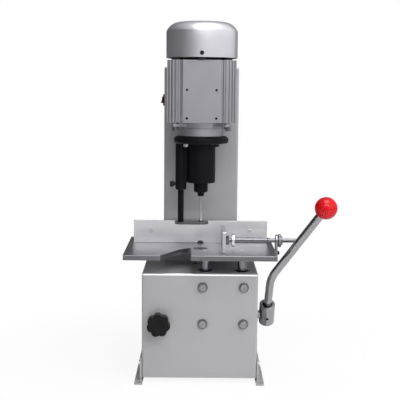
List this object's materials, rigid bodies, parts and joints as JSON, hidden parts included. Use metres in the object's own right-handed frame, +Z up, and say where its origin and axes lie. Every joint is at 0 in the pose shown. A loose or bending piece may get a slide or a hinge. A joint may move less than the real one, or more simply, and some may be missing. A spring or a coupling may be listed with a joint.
{
  "type": "paper drill",
  "caption": "Bench paper drill with an overhead motor on a sheet-metal column, a lever-lifted worktable with fence and side stop, a presser foot and a hollow bit.",
  "frame": {"origin": "centre of the four foot holes, on the bench surface", "axes": "+X to the operator's right, +Y away from the operator, +Z up along the drill's axis"},
  "size_m": [0.4094, 0.3138, 0.715],
  "materials": {
    "painted_sheet": "satin grey paint on folded steel sheet",
    "black_casting": "black enamel over cast iron",
    "motor_alloy": "grey painted die-cast aluminium",
    "cowl_steel": "grey gloss paint on pressed steel",
    "zinc_screws": "zinc-plated steel",
    "machined_steel": "ground and brushed steel",
    "fence_aluminium": "brushed aluminium plate",
    "polished_steel": "chromed or ground round steel",
    "tool_steel": "hardened ground steel",
    "blackened_steel": "black-oxide finished steel",
    "bronze": "sintered bronze",
    "black_plastic": "black moulded plastic",
    "red_plastic": "glossy red moulded plastic",
    "capacitor_plastic": "pale moulded can"
  },
  "bodies": {
    "base": {"cabinet_shell": "painted_sheet", "cabinet_back_cover": "painted_sheet", "foot_angle_left": "painted_sheet", "foot_angle_right": "painted_sheet", "foot_screws": "zinc_screws", "column_shell": "painted_sheet", "column_back_cover": "painted_sheet", "column_bolts": "zinc_screws", "cover_screws": "zinc_screws", "upper_guide_block": "machined_steel", "lower_guide_block": "machined_steel", "guide_bushes": "bronze", "guide_block_bolts": "zinc_screws", "shaft_bushes": "bronze", "shaft_flange": "machined_steel", "head_casting": "black_casting", "head_bolts": "zinc_screws", "ball_bearings": "tool_steel", "motor_lower_shield": "motor_alloy", "motor_frame": "motor_alloy", "motor_upper_shield": "motor_alloy", "stator": "machined_steel", "motor_tie_bolts": "zinc_screws", "fan_cowl": "cowl_steel", "cowl_screws": "zinc_screws", "switch_housing": "black_plastic", "run_capacitor": "capacitor_plastic", "cable_gland": "black_plastic"},
    "table": {"worktable": "machined_steel", "drill_pad": "black_plastic", "guide_rods": "polished_steel", "rack_post": "machined_steel", "tie_bar": "machined_steel", "table_screws": "zinc_screws", "gauge_bracket": "machined_steel"},
    "fence": {"fence": "fence_aluminium", "fence_brackets": "machined_steel", "fence_screws": "zinc_screws"},
    "side_stop": {"side_stop_plate": "machined_steel", "gauge_rod": "polished_steel", "gauge_collar": "zinc_screws"},
    "lock_nut": {"gauge_lock_nut": "machined_steel"},
    "lever": {"lever_shaft": "polished_steel", "lever_hub": "polished_steel", "hub_set_screw": "zinc_screws", "lever_arm": "polished_steel", "lever_ball": "red_plastic", "sector_gear": "machined_steel"},
    "spindle": {"spindle": "polished_steel", "drill_chuck": "blackened_steel", "drill_bit": "tool_steel", "rotor": "machined_steel", "cooling_fan": "machined_steel"},
    "presser": {"presser_rod": "blackened_steel", "presser_foot": "machined_steel"},
    "clamp_screw": {"presser_clamp_screw": "polished_steel"},
    "depth_stop": {"stop_block": "machined_steel"},
    "knob": {"star_knob": "black_plastic"},
    "rocker": {"switch_rocker": "red_plastic"}
  },
  "joints": [
    {"name": "table_lift", "type": "slide", "parent": "base", "child": "table", "axis": [0, 0, 1], "range_m": [0, 0.05]},
    {"name": "lever_turn", "type": "hinge", "parent": "base", "child": "lever", "pos_m": [0, -0.049, 0.124], "axis": [1, 0, 0], "range_deg": [0, 71.7]},
    {"name": "fence_slide", "type": "slide", "parent": "table", "child": "fence", "axis": [0, 1, 0], "range_m": [-0.015, 0]},
    {"name": "side_stop_slide", "type": "slide", "parent": "table", "child": "side_stop", "axis": [1, 0, 0], "range_m": [-0.024, 0.012]},
    {"name": "lock_nut_turn", "type": "hinge", "parent": "table", "child": "lock_nut", "pos_m": [0.157, -0.079, 0.2835], "axis": [1, 0, 0], "range_deg": [0, 360]},
    {"name": "spindle_spin", "type": "hinge", "parent": "base", "child": "spindle", "pos_m": [0, -0.064, 0.5], "axis": [0, 0, 1], "continuous": true},
    {"name": "presser_slide", "type": "slide", "parent": "base", "child": "presser", "axis": [0, 0, 1], "range_m": [0, 0.048]},
    {"name": "clamp_screw_turn", "type": "hinge", "parent": "base", "child": "clamp_screw", "pos_m": [-0.05, -0.064, 0.3945], "axis": [-1, 0, 0], "range_deg": [0, 360]},
    {"name": "depth_stop_slide", "type": "slide", "parent": "base", "child": "depth_stop", "axis": [0, 0, 1], "range_m": [0, 0.012]},
    {"name": "knob_turn", "type": "hinge", "parent": "depth_stop", "child": "knob", "pos_m": [-0.081, -0.12, 0.123], "axis": [0, -1, 0], "range_deg": [0, 360]},
    {"name": "rocker_tilt", "type": "hinge", "parent": "base", "child": "rocker", "pos_m": [-0.0785, 0.045, 0.56], "axis": [0, -1, 0], "range_deg": [0, 16]}
  ],
  "couplings": [
    {"joint": "lever_turn", "follows": "table_lift", "rad_per_m": 25}
  ]
}
